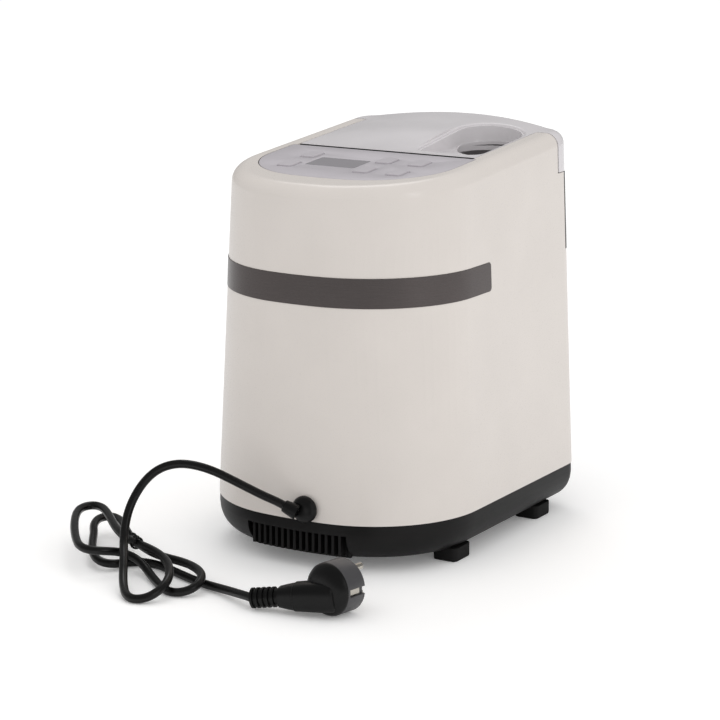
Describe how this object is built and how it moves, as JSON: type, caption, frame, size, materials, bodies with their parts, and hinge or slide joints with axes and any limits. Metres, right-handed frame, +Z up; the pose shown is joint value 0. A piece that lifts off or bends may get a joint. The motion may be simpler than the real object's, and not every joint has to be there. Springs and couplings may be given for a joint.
{
  "type": "electric pasta maker",
  "caption": "Electric pasta maker with a tapered rounded housing, hinged lid with pouring funnel, sliding kneading bowl, extruding screw and a tied mains cord.",
  "frame": {"origin": "middle of the footprint on the table, below the centre of the body box", "axes": "+X across the width, -Y out of the extruding front, +Y towards the back with the cord, +Z up"},
  "size_m": [0.2852, 0.4254, 0.3046],
  "materials": {
    "white_gloss": "satin gloss",
    "lid_grey": "satin gloss",
    "panel_grey": "satin",
    "dark_gloss": "gloss",
    "brushed_metal": "brushed around",
    "base_black": "fine grain",
    "foot_rubber": "matt",
    "liner_grey": "satin",
    "window_grey": "gloss",
    "board_green": "lacquered",
    "case_grey": "glass-filled",
    "core_steel": "stamped sheets",
    "coil_copper": "enamelled wire",
    "bracket_aluminium": "die cast",
    "shaft_steel": "ground",
    "pin_steel": "plated",
    "cord_black": "satin",
    "tie_black": "matt",
    "plug_black": "fine grain",
    "seal_grey": "matt",
    "strainer_grey": "satin",
    "bowl_smoke": "gloss",
    "nose_grey": "satin",
    "tool_white": "satin",
    "gear_nylon": "moulded",
    "pinion_brass": "machined",
    "fan_black": "moulded"
  },
  "bodies": {
    "housing": {"base_tray": "base_black", "rubber_feet": "foot_rubber", "outer_shell": "white_gloss", "trim_band": "brushed_metal", "bay_liner": "liner_grey", "control_panel": "panel_grey", "display_window": "window_grey", "key_board": "board_green", "gear_case_front": "case_grey", "gear_case_rear": "case_grey", "motor_stator": "core_steel", "motor_coils": "coil_copper", "motor_frame": "bracket_aluminium", "motor_end_plate": "bracket_aluminium", "power_board": "board_green", "hinge_pins": "shaft_steel", "cord_gland": "plug_black", "cord_lead": "cord_black", "cord_hank": "cord_black", "cord_tail": "cord_black", "twist_tie": "tie_black", "plug_body": "plug_black", "plug_pins": "pin_steel", "plug_earth_clips": "pin_steel"},
    "lid": {"lid_shell": "lid_grey", "pour_tray": "lid_grey", "lid_seal": "seal_grey", "funnel_strainer": "strainer_grey"},
    "cassette": {"mixing_bowl": "bowl_smoke", "extruder_nose": "nose_grey", "front_panel": "dark_gloss"},
    "screw": {"extruder_screw": "tool_white", "kneading_paddle": "tool_white"},
    "output_drive": {"output_shaft": "shaft_steel", "output_gear": "gear_nylon"},
    "idler_drive": {"idler_shaft": "shaft_steel", "idler_gear": "gear_nylon", "idler_pinion": "shaft_steel"},
    "rotor": {"motor_shaft": "shaft_steel", "motor_pinion": "pinion_brass", "rotor_core": "core_steel", "cooling_fan": "fan_black"},
    "die": {"pasta_die": "tool_white"},
    "ring": {"die_ring": "white_gloss"},
    "key_1": {"key_1": "panel_grey"},
    "key_2": {"key_2": "panel_grey"},
    "key_3": {"key_3": "panel_grey"},
    "key_4": {"key_4": "panel_grey"},
    "key_5": {"key_5": "panel_grey"},
    "key_6": {"key_6": "panel_grey"}
  },
  "joints": [
    {"name": "lid_hinge", "type": "hinge", "parent": "housing", "child": "lid", "pos_m": [0, 0.0111, 0.28543], "axis": [-1, 0, 0], "range_deg": [0, 100]},
    {"name": "bowl_slide", "type": "slide", "parent": "housing", "child": "cassette", "axis": [0, -1, 0], "range_m": [0, 0.13]},
    {"name": "screw_turn", "type": "hinge", "parent": "cassette", "child": "screw", "pos_m": [0, 0.0076, 0.122], "axis": [0, 1, 0], "continuous": true},
    {"name": "output_turn", "type": "hinge", "parent": "housing", "child": "output_drive", "pos_m": [0, 0.0276, 0.122], "axis": [0, 1, 0], "continuous": true},
    {"name": "idler_turn", "type": "hinge", "parent": "housing", "child": "idler_drive", "pos_m": [0, 0.0376, 0.066], "axis": [0, 1, 0], "continuous": true},
    {"name": "rotor_turn", "type": "hinge", "parent": "housing", "child": "rotor", "pos_m": [0.03654, 0.0776, 0.07444], "axis": [0, 1, 0], "continuous": true},
    {"name": "die_travel", "type": "slide", "parent": "cassette", "child": "die", "axis": [0, -1, 0], "range_m": [0, 0.008]},
    {"name": "ring_turn", "type": "hinge", "parent": "die", "child": "ring", "pos_m": [0, -0.1394, 0.122], "axis": [0, -1, 0], "range_deg": [0, 721]},
    {"name": "key_1_press", "type": "slide", "parent": "housing", "child": "key_1", "axis": [0, -0.0757, -0.9971], "range_m": [0, 0.001], "stiffness_N_per_m": 300, "springref_m": -0.0005},
    {"name": "key_2_press", "type": "slide", "parent": "housing", "child": "key_2", "axis": [0, -0.0757, -0.9971], "range_m": [0, 0.001], "stiffness_N_per_m": 300, "springref_m": -0.0005},
    {"name": "key_3_press", "type": "slide", "parent": "housing", "child": "key_3", "axis": [0, -0.0757, -0.9971], "range_m": [0, 0.001], "stiffness_N_per_m": 300, "springref_m": -0.0005},
    {"name": "key_4_press", "type": "slide", "parent": "housing", "child": "key_4", "axis": [0, -0.0757, -0.9971], "range_m": [0, 0.001], "stiffness_N_per_m": 300, "springref_m": -0.0005},
    {"name": "key_5_press", "type": "slide", "parent": "housing", "child": "key_5", "axis": [0, -0.0757, -0.9971], "range_m": [0, 0.001], "stiffness_N_per_m": 300, "springref_m": -0.0005},
    {"name": "key_6_press", "type": "slide", "parent": "housing", "child": "key_6", "axis": [0, -0.0757, -0.9971], "range_m": [0, 0.001], "stiffness_N_per_m": 300, "springref_m": -0.0005}
  ],
  "couplings": [
    {"joint": "output_turn", "follows": "screw_turn", "ratio": 1},
    {"joint": "idler_turn", "follows": "screw_turn", "ratio": -4},
    {"joint": "rotor_turn", "follows": "screw_turn", "ratio": 16},
    {"joint": "ring_turn", "follows": "die_travel", "rad_per_m": 1570.8}
  ]
}
